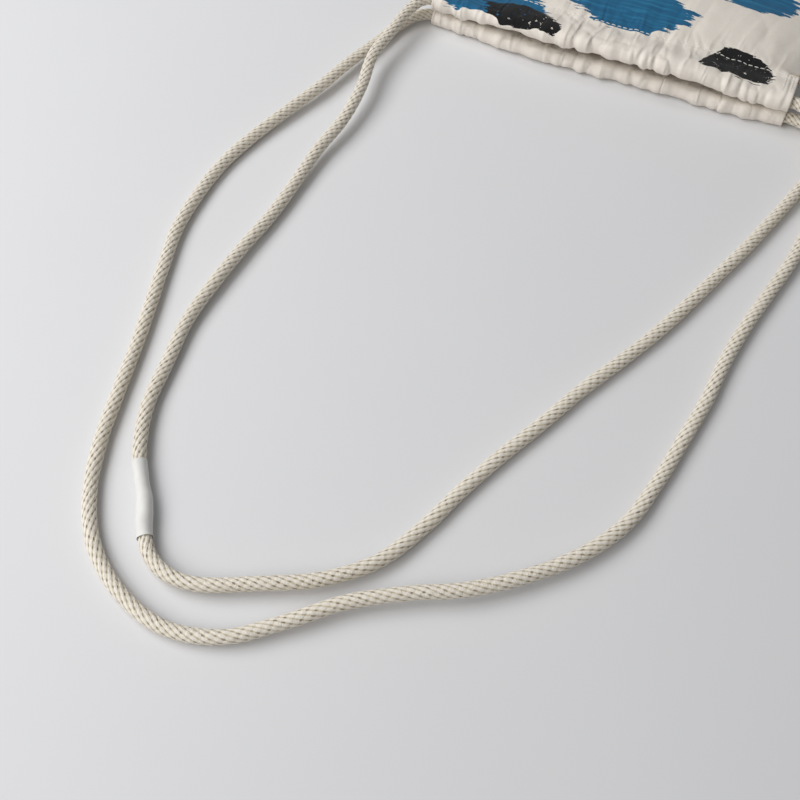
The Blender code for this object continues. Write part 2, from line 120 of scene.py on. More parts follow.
# front cord, from the sleeve up the left side to the front casing
FRONT_LEFT_ROUTE = [
    (-0.1013, -0.3803, 0.0046),
    (-0.1165, -0.3606, 0.0046),
    (-0.1278, -0.3353, 0.0041),
    (-0.1329, -0.3078, 0.0038),
    (-0.1371, -0.2802, 0.0043),
    (-0.1366, -0.2524, 0.0049),
    (-0.1346, -0.2245, 0.0049),
    (-0.1318, -0.1966, 0.0045),
    (-0.1309, -0.1687, 0.0050),
    (-0.1302, -0.1408, 0.0066),
    (-0.1268, -0.1131, 0.0085),
    (-0.1278, -0.0852, 0.0110),
    (-0.1330, -0.0580, 0.0126),
    (-0.1315, -0.0308, 0.0136),
    (-0.1298, -0.0120, 0.0147),
    (-0.1258, -0.0005, 0.0160),
]
# from the front casing's right end around the inner run, back to the sleeve
FRONT_RIGHT_ROUTE = [
    (0.1275, 0.0016, 0.0158),
    (0.1370, -0.0080, 0.0132),
    (0.1433, -0.0220, 0.0096),
    (0.1430, -0.0370, 0.0066),
    (0.1384, -0.0525, 0.0046),
    (0.1303, -0.0793, 0.0037),
    (0.1219, -0.1059, 0.0036),
    (0.1125, -0.1323, 0.0036),
    (0.1030, -0.1586, 0.0036),
    (0.0929, -0.1847, 0.0036),
    (0.0810, -0.2101, 0.0036),
    (0.0685, -0.2351, 0.0036),
    (0.0575, -0.2608, 0.0036),
    (0.0458, -0.2862, 0.0036),
    (0.0351, -0.3121, 0.0036),
    (0.0257, -0.3384, 0.0037),
    (0.0136, -0.3634, 0.0049),
    (-0.0064, -0.3828, 0.0062),
    (-0.0309, -0.3961, 0.0063),
    (-0.0562, -0.4075, 0.0052),
    (-0.0700, -0.4090, 0.0047),
    (-0.0830, -0.4044, 0.0046),
    (-0.0925, -0.3945, 0.0046),
    (-0.1013, -0.3803, 0.0046),
]
# back cord, from the back casing's left end around the outer run to its right end
BACK_ROUTE = [
    (-0.1280, -0.0015, 0.0047),
    (-0.1345, -0.0140, 0.0045),
    (-0.1402, -0.0368, 0.0051),
    (-0.1475, -0.0637, 0.0064),
    (-0.1544, -0.0909, 0.0061),
    (-0.1634, -0.1172, 0.0051),
    (-0.1720, -0.1438, 0.0041),
    (-0.1778, -0.1711, 0.0036),
    (-0.1786, -0.1990, 0.0036),
    (-0.1760, -0.2268, 0.0036),
    (-0.1687, -0.2537, 0.0036),
    (-0.1606, -0.2806, 0.0036),
    (-0.1529, -0.3075, 0.0036),
    (-0.1460, -0.3346, 0.0036),
    (-0.1385, -0.3615, 0.0036),
    (-0.1276, -0.3873, 0.0036),
    (-0.1110, -0.4095, 0.0036),
    (-0.0872, -0.4246, 0.0036),
    (-0.0601, -0.4308, 0.0036),
    (-0.0337, -0.4240, 0.0047),
    (-0.0116, -0.4070, 0.0058),
    (0.0084, -0.3885, 0.0067),
    (0.0321, -0.3731, 0.0073),
    (0.0567, -0.3598, 0.0072),
    (0.0786, -0.3424, 0.0066),
    (0.0977, -0.3220, 0.0056),
    (0.1117, -0.2980, 0.0045),
    (0.1186, -0.2709, 0.0036),
    (0.1233, -0.2433, 0.0036),
    (0.1278, -0.2157, 0.0036),
    (0.1303, -0.1878, 0.0036),
    (0.1348, -0.1602, 0.0036),
    (0.1409, -0.1329, 0.0037),
    (0.1468, -0.1056, 0.0040),
    (0.1500, -0.0781, 0.0042),
    (0.1535, -0.0500, 0.0042),
    (0.1545, -0.0280, 0.0042),
    (0.1495, -0.0110, 0.0043),
    (0.1400, -0.0015, 0.0045),
    (0.1285, 0.0030, 0.0048),
]


def smooth(a, b, x):
    """0 below a, 1 above b, an S-curve between."""
    t = np.clip((x - a) / (b - a), 0.0, 1.0)
    return t * t * (3 - 2 * t)


def sine(turns, x, span=1.0, phase=0.0):
    """A sine that makes a number of turns while x goes from 0 to span."""
    return np.sin(2 * np.pi * turns * x / span + phase)


def grain(x, y, seed):
    """Smooth noise from -1 to 1: random heights on whole numbers of x and y, blended by S-curves."""
    table = np.random.default_rng(seed).uniform(-1.0, 1.0, (64, 64))
    i = np.floor(x).astype(int)
    j = np.floor(y).astype(int)
    fx = x - i
    fy = y - j
    fx = fx * fx * (3 - 2 * fx)
    fy = fy * fy * (3 - 2 * fy)
    low = table[i % 64, j % 64] * (1 - fx) + table[(i + 1) % 64, j % 64] * fx
    high = table[i % 64, (j + 1) % 64] * (1 - fx) + table[(i + 1) % 64, (j + 1) % 64] * fx
    return low * (1 - fy) + high * fy


def through_rows(keys, counts):
    """Rows between key rows: a Catmull-Rom curve per column, its knots the roots of the mean distances.

    keys is (rows, columns, 3) and counts gives how many steps each gap between key rows gets.
    """
    first = 2 * keys[:1] - keys[1:2]
    last = 2 * keys[-1:] - keys[-2:-1]
    p = np.concatenate([first, keys, last])
    gaps = np.linalg.norm(np.diff(p, axis=0), axis=-1).mean(axis=1)
    knots = np.concatenate([[0.0], np.cumsum(np.sqrt(gaps))])
    rows = []
    for i, count in enumerate(counts, start=1):
        t0, t1, t2, t3 = knots[i - 1 : i + 3]
        t = np.linspace(t1, t2, count, endpoint=False)[:, None, None]
        a1 = (t1 - t) / (t1 - t0) * p[i - 1] + (t - t0) / (t1 - t0) * p[i]
        a2 = (t2 - t) / (t2 - t1) * p[i] + (t - t1) / (t2 - t1) * p[i + 1]
        a3 = (t3 - t) / (t3 - t2) * p[i + 1] + (t - t2) / (t3 - t2) * p[i + 2]
        b1 = (t2 - t) / (t2 - t0) * a1 + (t - t0) / (t2 - t0) * a2
        b2 = (t3 - t) / (t3 - t1) * a2 + (t - t1) / (t3 - t1) * a3
        rows.append((t2 - t) / (t2 - t1) * b1 + (t - t1) / (t2 - t1) * b2)
    rows.append(keys[-1:])
    return np.concatenate(rows)


def lengths_along(line):
    """Distance of each point of a line from its start."""
    return np.concatenate([[0.0], np.cumsum(np.linalg.norm(np.diff(line, axis=0), axis=1))])


def at_distances(line, distances):
    """Points of a dense line at distances along it."""
    along = lengths_along(line)
    return np.stack([np.interp(distances, along, line[:, k]) for k in range(3)], axis=-1)


def cross_axes(ahead, behind):
    """Level and upward unit vectors across a line, from points a little ahead and a little behind."""
    tangent = ahead - behind
    tangent /= np.linalg.norm(tangent, axis=1)[:, None]
    side = np.cross(tangent, np.array([0.0, 0.0, 1.0]))
    side /= np.linalg.norm(side, axis=1)[:, None]
    return side, np.cross(side, tangent)


def quads_of_grid(rows, columns, round_rows=False, round_columns=False):
    """Quads between neighbours of a grid, and the row and column of each quad's corners, not wrapped."""
    r, c = np.meshgrid(
        np.arange(rows if round_rows else rows - 1),
        np.arange(columns if round_columns else columns - 1),
        indexing="ij",
    )
    corner_rows = np.stack([r, r, r + 1, r + 1], axis=-1).reshape(-1, 4)
    corner_columns = np.stack([c, c + 1, c + 1, c], axis=-1).reshape(-1, 4)
    quads = (corner_rows % rows) * columns + corner_columns % columns
    return quads, corner_rows, corner_columns


def make_piece(name, points, faces, materials, uv=None, attributes=None):
    """A smooth-shaded mesh in the row frame, with a UV for each corner and values for each point."""
    mesh = bpy.data.meshes.new(name)
    placed = np.asarray(points, float).reshape(-1, 3) + TO_ROW_FRAME
    mesh.from_pydata(placed.tolist(), [], [list(map(int, f)) for f in faces])
    if uv is not None:
        layer = mesh.uv_layers.new(name="flat")
        layer.data.foreach_set("uv", np.asarray(uv, np.float32).ravel())
    for key, values in (attributes or {}).items():
        attribute = mesh.attributes.new(key, "FLOAT", "POINT")
        attribute.data.foreach_set("value", np.asarray(values, np.float32).ravel())
    mesh.shade_smooth()
    for m in materials:
        mesh.materials.append(m)
    piece = bpy.data.objects.new(name, mesh)
    bpy.context.scene.collection.objects.link(piece)
    return piece


# materials

def linear(colour):
    """Linear RGBA of an sRGB hex colour."""
    c = np.array([int(colour[i : i + 2], 16) for i in (1, 3, 5)]) / 255
    c = np.where(c <= 0.04045, c / 12.92, ((c + 0.055) / 1.055) ** 2.4)
    return (*(float(x) for x in c), 1.0)


def add(tree, kind, links=None, **settings):
    """Adds a shader node, its kind named without the prefix.

    links gives its sockets a value or another node's output, and settings are its properties. Sockets
    without a name of their own go by number: a MapRange reads the range from 1 to 2 and gives the one
    from 3 to 4, and 6 and 7 are the two colours of a Mix.
    """
    node = tree.nodes.new("ShaderNode" + kind)
    for key, value in settings.items():
        setattr(node, key, value)
    for key, value in (links or {}).items():
        if isinstance(value, bpy.types.NodeSocket):
            tree.links.new(value, node.inputs[key])
        else:
            node.inputs[key].default_value = value
    return node


def start_material(name, **shader):
    """A material with the shader's own values set, its node tree and its shader."""
    mat = bpy.data.materials.new(name)
    mat.use_nodes = True
    node = mat.node_tree.nodes["Principled BSDF"]
    for key, value in shader.items():
        node.inputs[key.replace("_", " ")].default_value = value
    return mat, mat.node_tree, node


def ramp(tree, value, stops):
    """A colour ramp with stops of (position, hex colour)."""
    node = add(tree, "ValToRGB", {"Fac": value})
    elements = node.color_ramp.elements
    for end in (0, -1):
        elements[end].position = stops[end][0]
        elements[end].color = linear(stops[end][1])
    for position, colour in stops[1:-1]:
        elements.new(position).color = linear(colour)
    return node.outputs["Color"]


def plain_weave(tree, uv, pitch):
    """Height of a plain weave: the product of two sines, one along each thread direction."""
    scaled = add(tree, "VectorMath", {0: uv, 1: (2 * math.pi / pitch,) * 3}, operation="MULTIPLY")
    parts = add(tree, "SeparateXYZ", {0: scaled.outputs[0]})
    warp = add(tree, "Math", {0: parts.outputs["X"]}, operation="SINE")
    weft = add(tree, "Math", {0: parts.outputs["Y"]}, operation="SINE")
    return add(tree, "Math", {0: warp.outputs[0], 1: weft.outputs[0]}, operation="MULTIPLY").outputs[0]


def cotton_canvas(name, tones, ink_from=None):
    """Cotton canvas, plain-woven and unbleached, screen-printed on its face from ink_from past the fold.

    It gives a matt, slightly warm cream with a fine woven grain, small creases that are strongest at
    the gathers, darker flecks of seed husk, and on the face flat areas of blue and black ink with
    ragged, dry-brushed ends.
    """
    mat, tree, shader = start_material(name, Roughness=0.92, IOR=1.46, Sheen_Weight=0.05, Sheen_Roughness=0.5)
    uv = add(tree, "UVMap", uv_map="flat").outputs["UV"]
    # real threads are about 0.5 mm apart; drawn at 1.1 mm a pair, so that the grain shows
    weave = plain_weave(tree, uv, 0.0011)
    patches = add(tree, "TexNoise", {"Vector": uv, "Scale": 38.0, "Detail": 4.0, "Roughness": 0.55})
    # uneven yarn shows as a fine grain in the tone, about 0.7 mm wide
    fuzz = add(tree, "TexNoise", {"Vector": uv, "Scale": 1500.0, "Detail": 2.0})
    tone = add(
        tree, "Math", {0: fuzz.outputs["Fac"], 1: 0.9, 2: patches.outputs["Fac"]}, operation="MULTIPLY_ADD"
    )
    # the tone lightens up to 1, and past it drops back to the middle one
    cream = ramp(tree, tone.outputs[0], list(zip((0.70, 1.0, 1.0), tones)))
    husk = add(tree, "TexNoise", {"Vector": uv, "Scale": 900.0, "Detail": 1.0})
    fleck = add(tree, "MapRange", {"Value": husk.outputs["Fac"], 1: 0.74, 2: 0.80, 3: 0.0, 4: 0.35})
    colour = add(
        tree, "Mix", {"Factor": fleck.outputs[0], 6: cream, 7: linear("#B9A98C")}, data_type="RGBA"
    ).outputs[2]
    if ink_from is not None:
        colour = brush_print(tree, uv, colour, ink_from)
    tree.links.new(colour, shader.inputs["Base Color"])
    # creases run across the casing and die away down the panel
    lengthwise = add(tree, "Mapping", {"Vector": uv, "Rotation": (0, 0, 0.30), "Scale": (112.0, 26.0, 1.0)})
    creases = add(
        tree,
        "TexNoise",
        {"Vector": lengthwise.outputs[0], "Scale": 1.0, "Detail": 1.8, "Roughness": 0.4, "Distortion": 0.6},
        noise_type="RIDGED_MULTIFRACTAL",
        noise_dimensions="2D",
    )
    # the flat map's second number is the distance from the fold, in metres
    flat = add(tree, "SeparateXYZ", {0: uv})
    from_fold = add(tree, "Math", {0: flat.outputs["Y"]}, operation="ABSOLUTE")
    share = add(
        tree,
        "MapRange",
        {"Value": from_fold.outputs[0], 1: 0.026, 2: 0.060, 3: 1.0, 4: 0.07},
        interpolation_type="SMOOTHSTEP",
    )
    crease_height = add(tree, "Math", {0: creases.outputs[0], 1: share.outputs[0]}, operation="MULTIPLY")
    folds = add(tree, "Bump", {"Strength": 1.0, "Distance": 0.0016, "Height": crease_height.outputs[0]})
    height = add(tree, "Math", {0: weave, 1: 0.5, 2: fuzz.outputs["Fac"]}, operation="MULTIPLY_ADD")
    bump = add(
        tree,
        "Bump",
        {"Strength": 0.7, "Distance": 0.00025, "Height": height.outputs[0], "Normal": folds.outputs[0]},
    )
    tree.links.new(bump.outputs[0], shader.inputs["Normal"])
    return mat


def brush_dabs(tree, uv, angle, size, share, spot):
    """Mask of dabs left by a broad brush, its dry streaks, and the swayed place.

    Stretched cells of a Voronoi pattern, of which a share is kept; streaks along the stroke and a
    slow sway make their outlines ragged.
    """
    sway = add(tree, "TexNoise", {"Vector": uv, "Scale": 19.0, "Detail": 3.0, "Roughness": 0.6})
    shift = add(tree, "VectorMath", {0: sway.outputs["Color"], 1: (0.5, 0.5, 0.5)}, operation="SUBTRACT")
    moved = add(
        tree, "VectorMath", {0: shift.outputs[0], 1: (0.042, 0.030, 0.0), 2: uv}, operation="MULTIPLY_ADD"
    )
    turned = add(
        tree,
        "Mapping",
        {"Vector": moved.outputs[0], "Location": spot, "Rotation": (0, 0, angle), "Scale": (*size, 1.0)},
    )
    cells = add(
        tree,
        "TexVoronoi",
        {"Vector": turned.outputs[0], "Scale": 1.0, "Randomness": 0.8},
        voronoi_dimensions="2D",
    )
    along = add(tree, "Mapping", {"Vector": uv, "Rotation": (0, 0, angle), "Scale": (24.0, 380.0, 1.0)})
    dry = add(tree, "TexNoise", {"Vector": along.outputs[0], "Scale": 1.0, "Detail": 4.0, "Roughness": 0.66})
    ragged = add(
        tree, "Math", {0: dry.outputs["Fac"], 1: 0.34, 2: cells.outputs["Distance"]}, operation="MULTIPLY_ADD"
    )
    dab = add(tree, "Math", {0: ragged.outputs[0], 1: 0.60}, operation="LESS_THAN")
    pick = add(tree, "SeparateColor", {0: cells.outputs["Color"]})
    kept = add(tree, "Math", {0: pick.outputs["Red"], 1: share}, operation="LESS_THAN")
    mask = add(tree, "Math", {0: dab.outputs[0], 1: kept.outputs[0]}, operation="MULTIPLY")
    return mask.outputs[0], dry.outputs["Fac"], moved.outputs[0]


def brush_print(tree, uv, cloth, ink_from):
    """Loose brush dabs, blue ones lying along the mouth and fewer black ones across them."""
    blue, streaks, place = brush_dabs(
        tree, uv, angle=0.20, size=(9.0, 19.0), share=0.62, spot=(0.30, 0.12, 0.0)
    )
    black, _, _ = brush_dabs(tree, uv, angle=-0.55, size=(13.0, 27.0), share=0.22, spot=(0.71, 0.40, 0.0))
    # the ink stops past the fold, so the turned-in hem stays plain
    v = add(tree, "SeparateXYZ", {0: place})
    reach = add(tree, "Math", {0: v.outputs["Y"], 1: ink_from}, operation="GREATER_THAN")
    blue = add(tree, "Math", {0: blue, 1: reach.outputs[0]}, operation="MULTIPLY")
    black = add(tree, "Math", {0: black, 1: reach.outputs[0]}, operation="MULTIPLY")
    tone = ramp(tree, streaks, [(0.35, "#125A82"), (0.55, "#186A93"), (0.72, "#2A86AC")])
    # pinholes where the black missed the weave
    miss = add(tree, "TexNoise", {"Vector": uv, "Scale": 240.0, "Detail": 6.0, "Roughness": 0.72})
    whole = add(tree, "Math", {0: miss.outputs["Fac"], 1: 0.62}, operation="LESS_THAN")
    black = add(tree, "Math", {0: black.outputs[0], 1: whole.outputs[0]}, operation="MULTIPLY")
    with_blue = add(tree, "Mix", {"Factor": blue.outputs[0], 6: cloth, 7: tone}, data_type="RGBA")
    with_black = add(
        tree,
        "Mix",
        {"Factor": black.outputs[0], 6: with_blue.outputs[2], 7: linear("#0E0E10")},
        data_type="RGBA",
    )
    return with_black.outputs[2]


def braided_cotton():
    """Unbleached cotton yarn in a solid braid, machine made.

    It gives soft cream grains with a slight fuzz, faint furrows between the strands darkened as painted shade
    and, where two grains end against each other, a short pit painted brown as painted shade.
    """
    mat, tree, shader = start_material(
        "braided_cotton", Roughness=0.95, IOR=1.46, Sheen_Weight=0.06, Sheen_Roughness=0.6
    )
    relief = add(tree, "Attribute", attribute_name="relief")
    uv = add(tree, "UVMap", uv_map="flat").outputs["UV"]
    # u counts columns round the cord and v counts strands; both sway a little, as worn stitches do
    sway = add(tree, "TexNoise", {"Vector": uv, "Scale": 0.55, "Detail": 2.0})
    centred = add(tree, "VectorMath", {0: sway.outputs["Color"], 1: (0.5, 0.5, 0.5)}, operation="SUBTRACT")
    moved = add(
        tree, "VectorMath", {0: centred.outputs[0], 1: (0.85, 0.44, 0.0), 2: uv}, operation="MULTIPLY_ADD"
    )
    place = add(tree, "SeparateXYZ", {0: moved.outputs[0]})
    seam = add(tree, "Math", {0: place.outputs["Y"], 1: 0.5, 2: -0.5}, operation="WRAP")
    slid = add(
        tree, "Math", {0: seam.outputs[0], 1: BRAID_SLIDE, 2: place.outputs["X"]}, operation="MULTIPLY_ADD"
    )
    spot = add(tree, "Math", {0: slid.outputs[0], 1: 0.5, 2: -0.5}, operation="WRAP")
    # a pit is an ellipse about 0.6 mm across the strands and 1.7 mm along them
    at = add(tree, "CombineXYZ", {0: seam.outputs[0], 1: spot.outputs[0]})
    scaled = add(tree, "VectorMath", {0: at.outputs[0], 1: (5.6, 3.3, 0.0)}, operation="MULTIPLY")
    away = add(tree, "VectorMath", {0: scaled.outputs[0]}, operation="LENGTH")
    pit = add(
        tree,
        "MapRange",
        {"Value": away.outputs["Value"], 1: 1.15, 2: 0.25, 3: 0.0, 4: 1.0},
        interpolation_type="SMOOTHSTEP",
    )
    # pits are of uneven depth, and here and there one is nearly closed
    depth = add(tree, "TexNoise", {"Vector": uv, "Scale": 1.3, "Detail": 1.0})
    share = add(tree, "MapRange", {"Value": depth.outputs["Fac"], 1: 0.33, 2: 0.63, 3: 0.10, 4: 0.84})
    pit = add(tree, "Math", {0: pit.outputs[0], 1: share.outputs[0]}, operation="MULTIPLY")
    # plies of one yarn run along the grain; real ones are 0.3 mm wide, drawn at about 0.6 mm
    lay = add(tree, "Mapping", {"Vector": uv, "Scale": (0.9, 5.0, 1.0)})
    plies = add(tree, "TexNoise", {"Vector": lay.outputs[0], "Scale": 1.0, "Detail": 3.0})
    soft = add(
        tree, "Math", {0: plies.outputs["Fac"], 1: 0.30, 2: relief.outputs["Fac"]}, operation="MULTIPLY_ADD"
    )
    # low relief gives darker, warmer furrows as painted shade and high relief lighter crowns as painted
    # light; the plies add the yarn's own uneven tone
    tones = [(0.10, "#B8A98B"), (0.45, "#D6CAB3"), (0.75, "#E8DFCE"), (1.0, "#F4EDE1")]
    yarn = ramp(tree, soft.outputs[0], tones)
    # the pits are mixed to brown as painted shade in the gaps between grains
    colour = add(tree, "Mix", {"Factor": pit.outputs[0], 6: yarn, 7: linear("#8A7A5F")}, data_type="RGBA")
    tree.links.new(colour.outputs[2], shader.inputs["Base Color"])
    # loose fibres roughen the whole surface
    where = add(tree, "TexCoord").outputs["Object"]
    fuzz = add(tree, "TexNoise", {"Vector": where, "Scale": 1400.0, "Detail": 2.0})
    rough = add(
        tree, "Math", {0: fuzz.outputs["Fac"], 1: 0.9, 2: plies.outputs["Fac"]}, operation="MULTIPLY_ADD"
    )
    height = add(tree, "Math", {0: pit.outputs[0], 1: -1.3, 2: rough.outputs[0]}, operation="MULTIPLY_ADD")
    bump = add(tree, "Bump", {"Strength": 1.0, "Distance": 0.0005, "Height": height.outputs[0]})
    tree.links.new(bump.outputs[0], shader.inputs["Normal"])
    return mat


def shrink_sleeve():
    """White polyolefin heat-shrink tube, extruded and shrunk over the braid.

    It gives a smooth satin white with faint lumps of the cord under it.
    """
    mat, tree, shader = start_material("shrink_sleeve", Roughness=0.62, IOR=1.4)
    where = add(tree, "TexCoord").outputs["Object"]
    clouds = add(tree, "TexNoise", {"Vector": where, "Scale": 180.0, "Detail": 3.0})
    colour = ramp(tree, clouds.outputs["Fac"], [(0.3, "#E2E1DD"), (0.7, "#E9E8E4")])
    tree.links.new(colour, shader.inputs["Base Color"])
    fine = add(tree, "TexNoise", {"Vector": where, "Scale": 420.0, "Detail": 2.0})
    bump = add(tree, "Bump", {"Strength": 0.3, "Distance": 0.0003, "Height": fine.outputs["Fac"]})
    tree.links.new(bump.outputs[0], shader.inputs["Normal"])
    return mat


def sewing_thread():
    """White spun polyester sewing thread, two plies twisted: a faint twill of fine diagonal lines."""
    mat, tree, shader = start_material("sewing_thread", Roughness=0.6, IOR=1.5, Sheen_Weight=0.1)
    where = add(tree, "TexCoord").outputs["Object"]
    # the twist is about 0.25 mm long; drawn at 0.5 mm
    twist = add(tree, "Mapping", {"Vector": where, "Rotation": (0, 0, 0.7), "Scale": (2000.0, 300.0, 300.0)})
    plies = add(tree, "TexNoise", {"Vector": twist.outputs[0], "Scale": 1.0, "Detail": 1.0})
    colour = ramp(tree, plies.outputs["Fac"], [(0.35, "#DEDAD0"), (0.65, "#F0EDE6")])
    tree.links.new(colour, shader.inputs["Base Color"])
    return mat


# cords

def fold_line(x):
    """Y of the mouth where the casing touches the cord: a shallow bow with a slow wave."""
    v = 2 * x / MOUTH_WIDTH
    return -MOUTH_BOW * (1 - v**2) + MOUTH_WAVE * np.sin(3.9 * v + 0.6) * (1 - v**2)


def front_cord_z(x):
    """The front cord rides on the back casing and is lifted where the mouth stands open."""
    v = np.abs(2 * x / MOUTH_WIDTH)
    return FRONT_CORD_Z + MOUTH_LIFT * (1 - smooth(0.46, 0.86, v))


def casing_route(front, start, stop, count):
    """The cord's centre inside its casing between two x, following the fold line."""
    x = np.linspace(start, stop, count)
    z = front_cord_z(x) if front else np.full_like(x, BACK_CORD_Z)
    return np.stack([x, fold_line(x) + TUNNEL_R, z], axis=-1)


def cord_line(route):
    """A smooth dense line through a route's points, LINE_STEPS to each gap between two."""
    keys = np.array(route, float)[:, None, :]
    return through_rows(keys, [LINE_STEPS] * (len(keys) - 1))[:, 0, :]


def ring_distances(line, count):
    """Distances of the rings: close together on the free run, far apart inside the casing."""
    along = lengths_along(line)
    # they thin out from 6 mm inside the casing's ends
    inside = HALF_MOUTH - 0.006 - np.abs(line[:, 0])
    hidden = smooth(0.0, 0.004, inside) * smooth(-0.010, -0.006, line[:, 1])
    density = 1 - 0.85 * hidden
    steps = np.diff(along) * 0.5 * (density[1:] + density[:-1])
    share = np.concatenate([[0.0], np.cumsum(steps)])
    return np.interp(np.linspace(0.0, share[-1], count), share, along)


def braid(turn, along):
    """Relief of a solid braid, 0 in the furrows and 1 on the grains.

    turn counts columns round the cord and along counts stitches along it. Strands run one column
    over for two thirds of a stitch up. Across a strand the height is a rounded cosine; along it, each
    grain rises where it comes out from under its neighbour and falls again after one column.
    """
    strand = along - turn * 2 / 3
    off = strand - np.round(strand)
    place = turn + BRAID_SLIDE * off
    within = place - np.round(place)
    across = np.cos(np.pi * off) ** 0.6
    ends = np.cos(np.pi * within) ** 0.6
    return across * (0.55 + 0.45 * ends)


def make_cord(name, line, closed):
    """A braided cord: rings of points carried along the line, their radius set by the braid.

    It gives the piece, the line through the rings' centres in the row frame, and the cord's length.
    """
    sides = CORD_SIDES
    distances = ring_distances(line, CORD_RINGS + 1 if closed else CORD_RINGS)
    total = distances[-1]
    if closed:
        distances = distances[:-1]
    stitches = round(total / BRAID_STITCH)
    centre = at_distances(line, distances)
    step = 0.0008
    ahead = at_distances(line, np.clip(distances + step, 0, total))
    behind = at_distances(line, np.clip(distances - step, 0, total))
    side, upward = cross_axes(ahead, behind)
    rows = np.append(distances, total) if closed else distances
    # the columns wander slowly round the cord, as on a cord that has been handled
    wander = 1.3 * sine(2, rows, total, 0.5) + 0.6 * sine(7, rows, total)
    along = stitches * rows / total + 0.10 * sine(31, rows, total)
    angle = 2 * np.pi * np.arange(sides + 1) / sides
    turn = BRAID_COLUMNS * angle[None, :] / (2 * np.pi) + wander[:, None]
    relief = braid(turn, along[:, None])
    uneven = 0.10 * grain(turn + 7, along[:, None], 3)
    relief = np.clip(relief + uneven * relief, 0.0, 1.1)[: len(distances), :sides]
    body = 1 + 0.012 * sine(19, distances, total) + 0.010 * sine(53, distances, total, 1)
    # the sleeve squeezes the two ends that meet inside it
    from_end = np.minimum(distances, total - distances)
    free = smooth(SLEEVE_LENGTH / 2 - 0.001, SLEEVE_LENGTH / 2 + 0.004, from_end)
    squeeze = 1.0 if closed else 0.87 + 0.13 * free
    radius = (CORD_D / 2 + BRAID_CROWN) * (body * squeeze)[:, None] - BRAID_RELIEF * (1 - relief)
    a = angle[None, :sides, None]
    ring = np.cos(a) * upward[:, None, :] + np.sin(a) * side[:, None, :]
    points = centre[:, None, :] + radius[..., None] * ring
    quads, corner_rows, corner_columns = quads_of_grid(len(distances), sides, closed, True)
    u = turn[corner_rows, corner_columns]
    uv = np.stack([u, along[corner_rows] - u * 2 / 3 + 0.5], axis=-1).reshape(-1, 2)
    faces = list(quads)
    if not closed:
        last = (len(distances) - 1) * sides
        faces += [np.arange(sides)[::-1], np.arange(last, last + sides)]
        uv = np.concatenate([uv, np.zeros((2 * sides, 2))])
    cord = make_piece(name, points, faces, [COTTON_CORD], uv, {"relief": relief})
    return cord, centre + TO_ROW_FRAME, total


COTTON_CORD = braided_cotton()
FACE_TONES = ("#EBE1D4", "#F2E9DD", "#F7F0E6")
# the unprinted inside: its tones are darker and warmer than the face as painted shade, so the gap between the
# casings looks deeper
INNER_TONES_WITH_PAINTED_SHADE = ("#CFBC9D", "#D8C8AC", "#E1D3BA")
FRONT_FACE = cotton_canvas("cotton_canvas_printed", FACE_TONES, ink_from=0.003)
BACK_FACE = cotton_canvas("cotton_canvas_printed_back", FACE_TONES, ink_from=0.012)
CANVAS_BACK = cotton_canvas("cotton_canvas_plain", INNER_TONES_WITH_PAINTED_SHADE)
SLEEVE = shrink_sleeve()
THREAD = sewing_thread()

# the cords follow the mouth until 2 mm past its ends
EXIT = HALF_MOUTH + 0.002
front_line = cord_line(
    np.concatenate([FRONT_LEFT_ROUTE, casing_route(True, -EXIT, EXIT, 15), FRONT_RIGHT_ROUTE])
)
back_line = cord_line(
    np.concatenate([casing_route(False, 0.0, -EXIT, 8), BACK_ROUTE, casing_route(False, EXIT, 0.0, 8)])
)
front_cord, front_path, front_length = make_cord("front_cord_braid", front_line, closed=False)
back_cord, back_path, back_length = make_cord("back_cord_braid", back_line, closed=True)


# canvas panels

def pucker_phase(u):
    """Phase of the gathers at u (0 left end, 1 right end): PUCKERS waves of uneven width."""
    wobble = 0.030 * sine(1.7, u, phase=0.4) + 0.013 * sine(4.3, u, phase=2.0)
    return 2 * np.pi * PUCKERS * (u + wobble * np.sin(np.pi * u))


def pucker(u, seed, lean):
    """Height of the gathers from 0 to 1: uneven pleats with narrow crests and creased valleys.

    Each pleat is 1 less a power of the distance from its crest, with smaller pleats laid over it,
    and all die away at the stitched ends.
    """
    size = 0.74 + 0.18 * sine(3.3, u, phase=seed) + 0.08 * sine(7.1, u, phase=2 * seed)
    ends = smooth(0.0, 0.055, u) * smooth(0.0, 0.055, 1 - u)
    slant = 0.16 * lean * (sine(2.6, u, phase=1.7 * seed) + 0.7 * sine(6.1, u, phase=3 * seed))
    turns = pucker_phase(u) / (2 * np.pi) + slant
    from_crest = np.abs(2 * (turns - np.floor(turns)) - 1)
    small = 2.3 * turns + seed + 0.5 * slant
    from_small = np.abs(2 * (small - np.floor(small)) - 1)
    pleat = 0.82 * (1 - from_crest**1.5) + 0.22 * (1 - from_small**1.3)
    return size * ends * pleat


